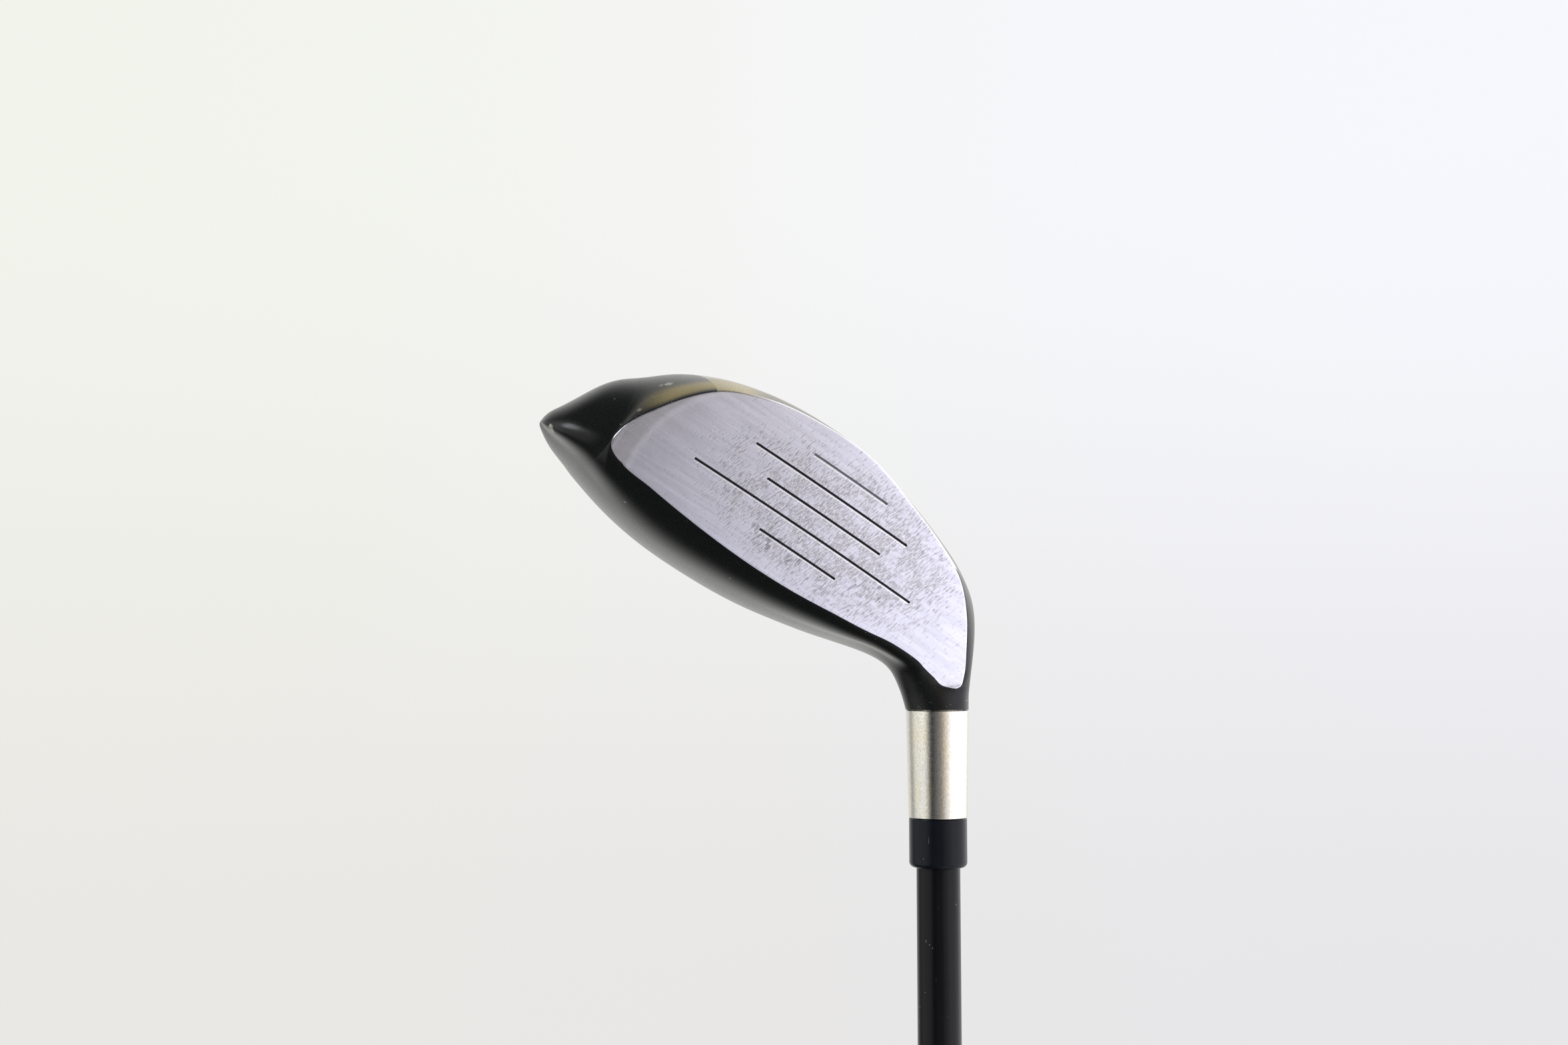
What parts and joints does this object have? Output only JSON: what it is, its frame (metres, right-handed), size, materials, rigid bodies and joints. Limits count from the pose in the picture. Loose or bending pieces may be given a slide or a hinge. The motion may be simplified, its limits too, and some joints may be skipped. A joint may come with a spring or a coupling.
{
  "type": "fairway wood",
  "caption": "Left-handed golf fairway wood: hollow painted head with a brushed grooved face, bright hosel collar, ferrule, long tapered shaft and rubber grip.",
  "frame": {"origin": "on the shaft's axis at the butt end of the grip, in the plane of the grip cap's flat end face", "axes": "+Z runs along the shaft from the grip towards the head, -Y is the way the face looks, and the toe points to -X"},
  "size_m": [0.0971, 0.0738, 1.1053],
  "materials": {
    "black_paint": "gloss black paint over cast and stamped steel",
    "brushed_face": "brushed, worn by use",
    "bright_steel": "machined bright",
    "gloss_black": "gloss black lacquer",
    "grey_rubber": "matte",
    "black_rubber": "matte, ribbed",
    "paper_tape": "creped masking paper",
    "brass": "satin"
  },
  "bodies": {
    "root": {"head_body": "black_paint", "crown_plate": "black_paint", "face_plate": "brushed_face", "sole_weight": "brass", "hosel_tube": "bright_steel", "ferrule": "gloss_black", "shaft": "gloss_black", "tip_plug": "grey_rubber", "grip_tape": "paper_tape", "grip": "black_rubber", "grip_cap": "black_rubber"}
  },
  "joints": []
}
